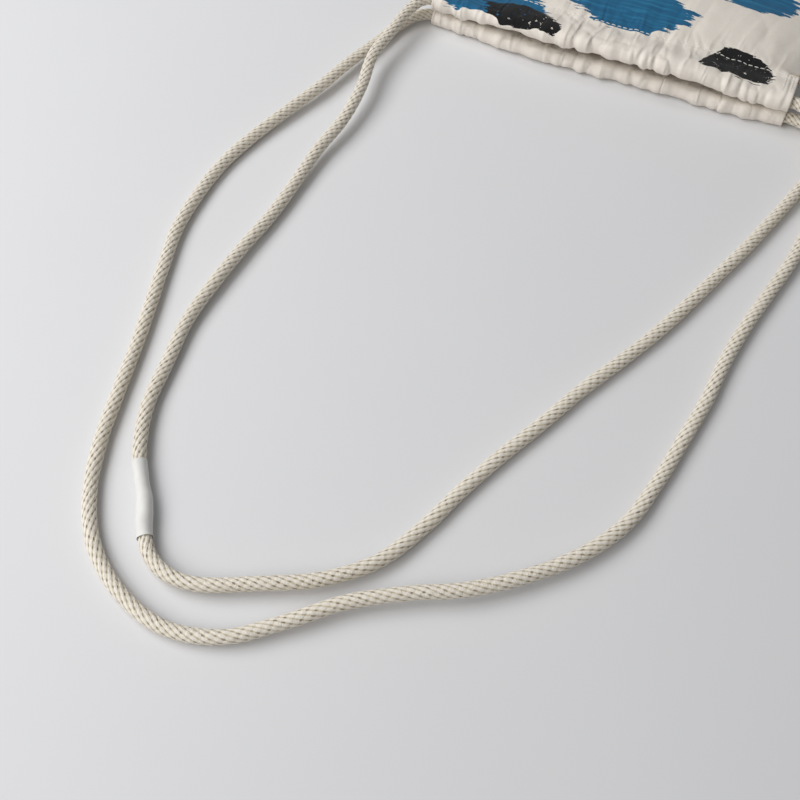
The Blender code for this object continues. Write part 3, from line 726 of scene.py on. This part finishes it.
def casing_keys(front, u):
    """Key rows from the hem's edge around the cord to the casing's seam."""
    x = MOUTH_WIDTH * (u - 0.5)
    seed = FRONT_GATHERS if front else BACK_GATHERS
    y_fold = fold_line(x)
    y_cord = y_fold + TUNNEL_R
    flare = END_FLARE * (1 - smooth(0.0, 0.05, np.minimum(u, 1 - u)))
    g = [pucker(u, seed, lean) for lean in PLEAT_LEANS]
    wave = [SEAM_PUCKER * height for height in g]
    if front:
        z_cord = front_cord_z(x)
        z_seam = z_cord - SEAM_DROP
        z_return = z_seam - PITCH / 2
        z_outer = z_seam + PITCH / 2
        z_near = z_cord - TUNNEL_R - PUCKER_UNDER * g[3]
        z_far = z_cord + TUNNEL_R + PUCKER_TOP * g[7] + flare
        side, near_push, far_push = 1.0, PUCKER_UNDER, PUCKER_TOP
    else:
        z_cord = np.full_like(x, BACK_CORD_Z)
        z_return = np.full_like(x, CLOTH / 2 + PITCH)
        z_outer = np.full_like(x, CLOTH / 2)
        z_near = z_cord + TUNNEL_R + PUCKER_TOP * g[3] + flare
        z_far = z_cord - TUNNEL_R
        side, near_push, far_push = -1.0, PUCKER_TOP, 0.0
    y_mid = y_fold + 0.5 * CASING_DEPTH
    y_late = y_fold + 0.84 * CASING_DEPTH
    rows = [
        (y_fold + HEM_DEPTH, z_return + wave[0]),
        (y_late, z_return + wave[1]),
        (y_mid, 0.42 * z_return + 0.58 * z_near + 0.5 * wave[2]),
        (y_cord, z_near),
    ]
    for k, degrees in enumerate((45, 90, 135), start=4):
        a = math.radians(degrees)
        push = PUCKER_HEIGHT * math.sin(a)
        push += near_push * max(0.0, math.cos(a)) + far_push * max(0.0, -math.cos(a))
        reach = TUNNEL_R + push * g[k] + flare * max(math.sin(a), far_push / PUCKER_TOP)
        z = z_cord - side * reach * math.cos(a)
        rows.append((y_cord - reach * math.sin(a), np.maximum(z, CLOTH / 2)))
    rows += [
        (y_cord, z_far),
        (y_mid, 0.42 * z_outer + 0.58 * z_far + 0.5 * wave[8]),
        (y_late, z_outer + wave[9]),
        (y_fold + CASING_DEPTH, z_outer + wave[10]),
    ]
    return np.array([np.stack([x, y, z], axis=-1) for y, z in rows])


def half_width(y):
    """Half the pouch's width at y: gathered at the mouth, full below, rounded at the corners."""
    w = HALF_MOUTH + (BODY_WIDTH - MOUTH_WIDTH) / 2 * smooth(CASING_DEPTH, SHOULDER_LENGTH, y)
    into = np.clip(y - (BODY_LENGTH - CORNER_RADIUS), 0.0, CORNER_RADIUS)
    return w - CORNER_RADIUS + np.sqrt(CORNER_RADIUS**2 - into**2)


def body_rows(front, u, y):
    """The panel below the casing at rows y: a low dome above, flat on the surface below.

    Gathers run on from the casing and fade; the dome falls off to the seams by powers of the
    distance from the middle.
    """
    y = y[:, None]
    s = (2 * u - 1)[None, :]
    ends = 1 - np.abs(s) ** 12
    fade = np.exp(-(y - CASING_DEPTH) / GATHER_FADE)
    seed = FRONT_GATHERS if front else BACK_GATHERS
    near = pucker(u, seed, PLEAT_LEANS[-1])[None, :]
    far = pucker(u + 0.004, seed, PLEAT_LEANS[-1])[None, :]
    g = near * fade + (1 - fade) * far
    wave = SEAM_PUCKER * g * fade
    late = smooth(0.8 * SLIT_LENGTH, SHOULDER_LENGTH, y)
    bow = fold_line(HALF_MOUTH * s) * np.exp(-(y - CASING_DEPTH) / 0.05) * ends
    zs = SEAM_Z + SEAM_LIFT * (1 - smooth(SLIT_LENGTH, SHOULDER_LENGTH, y))
    if front:
        centre = FRONT_CORD_Z + MOUTH_LIFT - SEAM_DROP + PITCH / 2
        top_y = 0.4 * BODY_LENGTH
        height = centre + (DOME_HEIGHT - centre) * late
        fall = 1 - (np.maximum(0.0, y - top_y) / (BODY_LENGTH - top_y)) ** 2.4
        edge = zs + 1.5 * PITCH
        soft = SOFT_FOLD * late * fall * (1 - s**2)
        soft = soft * (np.sin(4.6 * s + 9.0 * y + 0.7) * 0.7 + np.sin(9.1 * s - 13.0 * y) * 0.45)
        z = edge + (height - edge) * fall * (1 - np.abs(s) ** (7.0 - 4.4 * late)) + soft + wave * ends
    else:
        edge = zs - 1.5 * PITCH
        z = CLOTH / 2 + (edge - CLOTH / 2) * np.abs(s) ** 10 + wave * ends
    return np.stack([half_width(y) * s, y + bow, z], axis=-1)


def crease(x, y, seed):
    """Creased folds from -1 to 0: a rounded surface with narrow valleys where smooth noise crosses zero."""
    return -((1 - np.abs(grain(x, y, seed))) ** 3)


def crumple(front, points, fold_distance):
    """Small folds laid over a panel: how far it moves up, and how far along its own normal.

    Round the cord, short creases cut in across the casing. Long folds start at the seam and fade
    down the panel, and a broad soft unevenness covers the rest. Near the seam both layers of the
    casing move up together. Numbers under x, y and fold_distance are the folds' sizes in metres.
    """
    x = points[..., 0]
    y = points[..., 1]
    v = np.abs(fold_distance)
    inside = np.clip((half_width(np.maximum(y, 0.0)) - np.abs(x)) / 0.02, 0.0, 1.0)
    inside = inside * np.clip((BODY_LENGTH - y) / 0.02, 0.0, 1.0)
    seed = 11 if front else 23
    sway = grain(x / 0.04, y / 0.05, seed)
    long_folds = crease(x / 0.016 + 1.4 * sway, y / 0.070, seed + 1)
    long_folds += 0.6 * grain(x / 0.009 + 2 * sway, y / 0.05, seed + 5)
    reach = smooth(0.014, 0.030, v) * np.exp(-np.maximum(v - 0.03, 0) / GATHER_FADE)
    small = crease(x / 0.0062 + y / 0.010 + sway, y / 0.016, seed + 2)
    near = smooth(0.014, 0.020, v) * (1 - smooth(0.034, 0.060, v))
    broad = grain(x / 0.034, y / 0.048, seed + 3) + 0.5 * grain(x / 0.017 + y / 0.03, y / 0.024, seed + 4)
    up = LONG_FOLD * long_folds * reach + SMALL_FOLD * small * near
    up += BROAD_FOLD * broad * smooth(0.05, 0.10, v)
    round_cord = 1 - smooth(0.012, 0.020, v)
    ends = smooth(0.0, 0.02, HALF_MOUTH - np.abs(x))
    cut = crease(x / 0.0085 + 0.7 * sway + fold_distance / 0.045, fold_distance / 0.019, seed + 6)
    return up * inside, CASING_CREASE * cut * round_cord * ends


def clear_of_cord(front, grid):
    """The grid loose at the fold, but never inside the cord: pushed out along the cord's radius."""
    x, y, z = np.moveaxis(grid, -1, 0)
    cord_y = fold_line(x) + TUNNEL_R
    cord_z = front_cord_z(x) if front else BACK_CORD_Z
    towards_fold = np.clip((cord_y - y) / np.hypot(y - cord_y, z - cord_z), 0.0, 1.0)
    y = y - FOLD_SLACK * towards_fold
    push = np.maximum((TUNNEL_R - CREASE_DEPTH) / np.hypot(y - cord_y, z - cord_z), 1.0)
    return np.stack([x, cord_y + (y - cord_y) * push, cord_z + (z - cord_z) * push], axis=-1)


def turn_in_edges(front, grid, flat):
    """Points, flat places and quads of a panel with its seam allowance turned in along three sides.

    The edge runs down the left side, along the bottom and up the right side. Three more lines follow
    it, under the front panel or over the back one: the fold's outermost line half a layer out and half
    a layer off, its inner end a whole layer off, and the allowance's free edge.
    """
    rows, columns = grid.shape[:2]
    start = sum(ROW_STEPS)
    left = np.arange(start, rows) * columns
    bottom = (rows - 1) * columns + np.arange(1, columns - 1)
    right = (np.arange(start, rows) * columns + columns - 1)[::-1]
    edge = np.concatenate([left, bottom, right])
    points = grid.reshape(-1, 3)
    flat = flat.reshape(-1, 2)
    rim = points[edge]
    along = np.gradient(rim[:, :2], axis=0)
    along /= np.linalg.norm(along, axis=1)[:, None]
    out = np.stack([along[:, 1], -along[:, 0]], axis=-1)
    out = np.where(out[:1, :1] > 0, -out, out)
    turn = -1.0 if front else 1.0
    faces = [quads_of_grid(rows, columns)[0]]
    previous = edge
    for reach, drop in ((PITCH / 2, PITCH / 2), (0.0, PITCH), (-SEAM_ALLOWANCE, PITCH)):
        ring = np.column_stack([rim[:, :2] + reach * out, rim[:, 2] + turn * drop])
        index = len(points) + np.arange(len(edge))
        points = np.concatenate([points, ring])
        flat = np.concatenate([flat, flat[edge]])
        faces.append(np.stack([previous[:-1], previous[1:], index[1:], index[:-1]], axis=-1))
        previous = index
    return points, flat, np.concatenate(faces)


def make_panel(name, front, columns, node):
    """One panel: casing and body in one grid, seam allowances turned in along three sides."""
    u = np.linspace(0.0, 1.0, columns)
    # rows lie closer together where the gathers still show, and in the corners
    gathered_to = 0.100
    corner = BODY_LENGTH - CORNER_RADIUS
    below = np.concatenate([
        np.linspace(SLIT_LENGTH, gathered_to, 34, endpoint=False),
        np.linspace(gathered_to, corner, 36, endpoint=False),
        corner + CORNER_RADIUS * np.sin(np.linspace(0, np.pi / 2, 8)),
    ])
    body = body_rows(front, u, below)
    keys = np.concatenate([casing_keys(front, u), body[:2]])
    casing = through_rows(keys, ROW_STEPS)[:-1]
    grid = np.concatenate([casing, body[1:]])
    gaps = np.linalg.norm(np.diff(grid, axis=0), axis=-1).mean(axis=1)
    v = np.concatenate([[0.0], np.cumsum(gaps)])
    v -= v[FOLD_ROW]
    up, outward = crumple(front, grid, v[:, None])
    normal = np.cross(np.gradient(grid, axis=1), np.gradient(grid, axis=0))
    normal /= np.linalg.norm(normal, axis=-1, keepdims=True)
    side = 1.0 if front else -1.0
    grid += normal * (side * outward)[..., None]
    if front:
        grid[..., 2] += up
    else:
        grid[..., 2] = np.maximum(grid[..., 2] + 0.5 * np.maximum(up, 0.0), CLOTH / 2)
    grid = clear_of_cord(front, grid)
    if front:
        # the seam presses the layers together
        from_seam = grid[..., 1] - fold_line(grid[..., 0]) - CASING_DEPTH
        grid[..., 2] -= SEAM_GROOVE * np.exp(-((from_seam / 0.0016) ** 2))
    across = np.broadcast_to((u - 0.5) * FLAT_WIDTH, grid.shape[:2])
    flat = np.stack([across, np.broadcast_to(v[:, None], grid.shape[:2])], axis=-1)
    points, flat, faces = turn_in_edges(front, grid, flat)
    if not front:
        faces = faces[:, ::-1]
    materials = [FRONT_FACE if front else BACK_FACE, CANVAS_BACK]
    panel = make_piece(name, points, faces, materials, flat[faces.ravel()])
    cloth = panel.modifiers.new("cloth", "SOLIDIFY")
    cloth.thickness = CLOTH
    cloth.offset = 0.0
    cloth.use_even_offset = False
    cloth.use_rim = True
    cloth.material_offset = 1
    cloth.material_offset_rim = 1
    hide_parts(node)
    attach(panel, "root")
    return panel, grid


front_panel, front_grid = make_panel("front_panel_cloth", front=True, columns=281, node="front_panel")
back_panel, back_grid = make_panel("back_panel_cloth", front=False, columns=241, node="back_panel")


# stitching

def on_grid(grid, rows, columns):
    """Points and upward normals of a grid at fractional rows and columns."""
    r = np.clip(np.floor(rows).astype(int), 0, grid.shape[0] - 2)
    c = np.clip(np.floor(columns).astype(int), 0, grid.shape[1] - 2)
    fr = (rows - r)[:, None]
    fc = (columns - c)[:, None]
    a, b, d, e = grid[r, c], grid[r, c + 1], grid[r + 1, c], grid[r + 1, c + 1]
    point = (1 - fr) * ((1 - fc) * a + fc * b) + fr * ((1 - fc) * d + fc * e)
    normal = np.cross((1 - fr) * (b - a) + fr * (e - d), (1 - fc) * (d - a) + fc * (e - b))
    normal /= np.linalg.norm(normal, axis=1)[:, None]
    return point, normal * np.sign(normal[:, 2:3] + 1e-9)


def stitch_dashes(line, normals, pitch, length):
    """Short threads along a line on the cloth: rods of six sides whose ends dip under the surface."""
    along = lengths_along(line)
    count = int(along[-1] // pitch)
    centre = (np.arange(count) + 0.5) * along[-1] / count
    at = at_distances(line, centre)
    up = np.stack([np.interp(centre, along, normals[:, k]) for k in range(3)], axis=-1)
    up /= np.linalg.norm(up, axis=1)[:, None]
    tangent = at_distances(line, centre + pitch / 4) - at_distances(line, centre - pitch / 4)
    tangent -= up * np.sum(tangent * up, axis=1)[:, None]
    tangent /= np.linalg.norm(tangent, axis=1)[:, None]
    side = np.cross(up, tangent)
    t = np.array([-1.0, -0.72, -0.3, 0.3, 0.72, 1.0])
    thick = THREAD_R * np.array([0.55, 0.9, 1.0, 1.0, 0.9, 0.55])
    sides = 6
    rod = len(t) * sides
    a = 2 * np.pi * np.arange(sides) / sides
    forward = np.repeat(t * length / 2, sides)
    rise = 0.00012 + np.repeat(-0.00052 * t**4, sides)
    height = rise + CLOTH / 2 + np.outer(thick, np.sin(a)).ravel()
    sideways = np.outer(thick, np.cos(a)).ravel()
    points = (
        at[:, None, :]
        + forward[None, :, None] * tangent[:, None, :]
        + sideways[None, :, None] * side[:, None, :]
        + height[None, :, None] * up[:, None, :]
    )
    quads = quads_of_grid(len(t), sides, False, True)[0]
    faces = list(np.concatenate([quads + rod * k for k in range(count)]))
    caps = (np.arange(sides)[::-1], np.arange(rod - sides, rod))
    return points.reshape(-1, 3), faces + [cap + rod * k for cap in caps for k in range(count)]


def make_stitching(place, rows):
    """All dashes of one thread as one piece."""
    points = []
    faces = []
    start = 0
    for line, normals, (pitch, length) in rows:
        p, f = stitch_dashes(line, normals, pitch, length)
        points.append(p)
        faces += [face + start for face in f]
        start += len(p)
    piece = make_piece(f"{place}_stitches", np.concatenate(points), faces, [THREAD])
    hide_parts(f"{place}_stitching")
    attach(piece, "root")


def seam_row(grid, row):
    """The thread along the casing's seam, from end to end."""
    samples = 900
    columns = np.linspace(3.0, grid.shape[1] - 4.0, samples)
    return *on_grid(grid, np.full(samples, float(row)), columns), SEAM_STITCH


def end_row(grid, right, inset, first_row, last_row):
    """One row of stitches across a casing's end."""
    wide = grid.shape[1] - 1
    column = wide * (1 - inset / MOUTH_WIDTH) if right else wide * inset / MOUTH_WIDTH
    samples = 120
    rows = np.linspace(first_row, last_row, samples)
    return *on_grid(grid, rows, np.full(samples, column)), HEM_STITCH


# threads lie on the front casing's face and on the back one's turned-in hem, hence the two ranges of rows
for side, right in (("left", False), ("right", True)):
    for panel, grid, first_row, last_row in (("front", front_grid, 41, 60), ("back", back_grid, 8, 24)):
        hem_rows = [end_row(grid, right, inset, first_row, last_row) for inset in HEM_INSETS]
        make_stitching(f"{panel}_{side}_hem", hem_rows)
make_stitching("front_casing", [seam_row(front_grid, SEAM_ROW)])
make_stitching("back_casing", [seam_row(back_grid, 3)])


# joining sleeve

def make_sleeve(name, line):
    """A shrunk tube over the cord's two ends: a wall carried along the line, outside and back inside.

    Its radius follows the squeezed cord with a few low lumps, swells on one side where the cord's
    ends meet, and flares at the lower mouth.
    """
    sides, steps = 44, 90
    total = lengths_along(line)[-1]
    t = np.linspace(-1.0, 1.0, steps)
    distance = t * (SLEEVE_LENGTH / 2)
    centre = at_distances(line, np.mod(distance, total))
    step = 0.0006
    ahead = at_distances(line, np.mod(distance + step, total))
    behind = at_distances(line, np.mod(distance - step, total))
    side, upward = cross_axes(ahead, behind)
    a = 2 * np.pi * np.arange(sides) / sides
    swell = np.exp(-(((t + 0.36) / 0.42) ** 2))[:, None] * (0.00012 + 0.00034 * (1 + np.sin(a)))[None, :]
    lumps = 0.00022 * grain(t[:, None] * 5 + 9, np.cos(a)[None, :] * 1.4 + np.sin(a)[None, :] + 5, 41)
    mouth = 0.00042 * np.exp(-(1 + t) / 0.05) + 0.00008 * np.exp(-(1 - t) / 0.04)
    inner = SLEEVE_BORE + mouth[:, None] + swell + np.maximum(lumps, 0.0)
    outer = inner + SLEEVE_WALL + np.minimum(lumps, 0.0) * 0.5
    ring = np.cos(a)[None, :, None] * upward[:, None, :] + np.sin(a)[None, :, None] * side[:, None, :]
    outside = centre[:, None, :] + outer[..., None] * ring
    inside = centre[:, None, :] + inner[..., None] * ring
    points = np.concatenate([outside, inside[::-1]])
    quads = quads_of_grid(2 * steps, sides, True, True)[0]
    piece = make_piece(name, points, quads, [SLEEVE])
    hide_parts("join_sleeve")
    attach(piece, "root")
    return piece


sleeve = make_sleeve("join_sleeve_tube", np.concatenate([front_line, front_line[:1]]))

for cord, node in ((front_cord, "front_cord"), (back_cord, "back_cord")):
    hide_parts(node)
    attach(cord, "root")


# floor, light and camera

def make_floor():
    """A pale painted board: near-white, satin and faintly cloudy, its colour a little lighter towards the top
    as painted light.
    """
    mesh = bpy.data.meshes.new("floor")
    reach = 4.0
    corners = [(-reach, -reach, 0), (reach, -reach, 0), (reach, reach, 0), (-reach, reach, 0)]
    mesh.from_pydata(corners, [], [(0, 1, 2, 3)])
    mat, tree, shader = start_material("painted_board", Roughness=0.55, IOR=1.45)
    where = add(tree, "TexCoord").outputs["Object"]
    # the picture's upward direction on the board, and where its lower and upper edges lie along it; along it
    # the colour lightens as painted light
    up_the_picture, low, high = (-0.413, 0.911, 0.0), -0.573, -0.059
    painted_light_upwards = add(tree, "VectorMath", {0: where, 1: up_the_picture}, operation="DOT_PRODUCT")
    height = add(tree, "MapRange", {"Value": painted_light_upwards.outputs["Value"], 1: low, 2: high, 3: 0.0, 4: 0.8})
    clouds = add(tree, "TexNoise", {"Vector": where, "Scale": 9.0, "Detail": 3.0})
    tone = add(
        tree, "Math", {0: clouds.outputs["Fac"], 1: 0.2, 2: height.outputs[0]}, operation="MULTIPLY_ADD"
    )
    # the gradient in this tone is painted light; the clouds are the board's own unevenness
    colour = ramp(tree, tone.outputs[0], [(0.0, "#DADADB"), (1.0, "#E8E8E9")])
    tree.links.new(colour, shader.inputs["Base Color"])
    mesh.materials.append(mat)
    floor = bpy.data.objects.new("floor", mesh)
    bpy.context.scene.collection.objects.link(floor)


def make_lamp(name, place, target, wide, high, power, colour):
    """A soft light, wide by high, aimed at a point."""
    lamp = bpy.data.lights.new(name, "AREA")
    lamp.shape = "RECTANGLE"
    lamp.size = wide
    lamp.size_y = high
    lamp.energy = power
    lamp.color = linear(colour)[:3]
    holder = bpy.data.objects.new(name, lamp)
    bpy.context.scene.collection.objects.link(holder)
    holder.location = place
    aim = np.array(target) - np.array(place)
    holder.rotation_euler = (
        math.acos(-aim[2] / np.linalg.norm(aim)),
        0.0,
        math.atan2(aim[1], aim[0]) - math.pi / 2,
    )


make_floor()
make_lamp(
    "window", (-1.46, -0.43, 1.74), (0.04, -0.28, 0.0), wide=1.95, high=1.35, power=34.5, colour="#FCFDFF"
)
make_lamp(
    "pale_wall", (-0.583, -1.319, 0.85), (-0.05, -0.30, 0.0), wide=1.0, high=0.7, power=7.0, colour="#FEFDFC"
)
world = bpy.data.worlds.new("room")
world.use_nodes = True
backdrop = world.node_tree.nodes["Background"]
backdrop.inputs["Color"].default_value = linear("#F6F6F6")
backdrop.inputs["Strength"].default_value = 0.245
bpy.context.scene.world = world

lens = bpy.data.cameras.new("camera")
lens.lens = 45.0
lens.sensor_width = 36.0
lens.clip_start = 0.01
camera = bpy.data.objects.new("camera", lens)
bpy.context.scene.collection.objects.link(camera)
camera.location = (0.0973, -0.6702, 0.433)
camera.rotation_euler = (math.radians(32.0), 0.0, math.radians(24.415))
bpy.context.scene.camera = camera
bpy.context.scene.view_settings.view_transform = "Standard"
